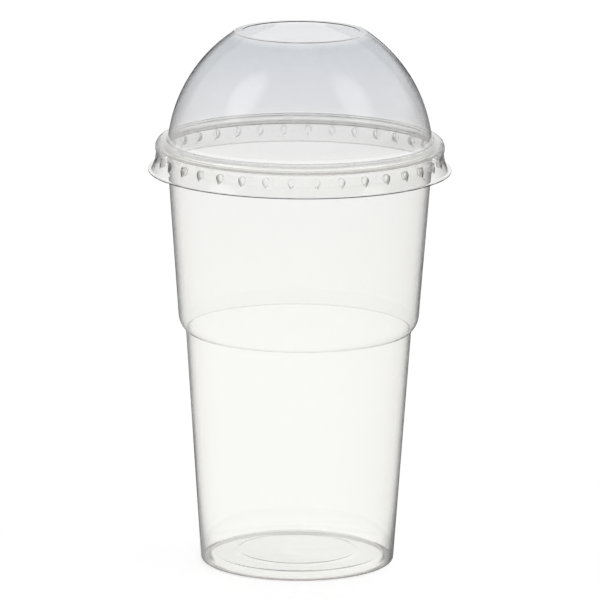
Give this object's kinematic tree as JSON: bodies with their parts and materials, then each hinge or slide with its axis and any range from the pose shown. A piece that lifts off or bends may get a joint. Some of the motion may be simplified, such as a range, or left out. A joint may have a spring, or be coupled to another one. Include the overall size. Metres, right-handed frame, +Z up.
{
  "type": "plastic cup with lid",
  "caption": "Clear plastic drink cup with a rolled rim and a stacking ledge, closed by a clear domed lid with an open hole on top.",
  "frame": {"origin": "centre of the cup's foot ring, on the surface that the cup stands on", "axes": "+Z up along the axis of the cup and the lid; the lid has a lug at each 10 degrees from +X"},
  "size_m": [0.101, 0.101, 0.1798],
  "materials": {
    "cup_sheet": "clear, glossy, faintly warm",
    "lid_sheet": "clear, glossy, faintly cool"
  },
  "bodies": {
    "cup": {"cup": "cup_sheet"},
    "lid": {"dome_lid": "lid_sheet"}
  },
  "joints": [
    {"name": "lid_lift", "type": "slide", "parent": "cup", "child": "lid", "axis": [0, 0, 1], "range_m": [0, 0.04]}
  ]
}
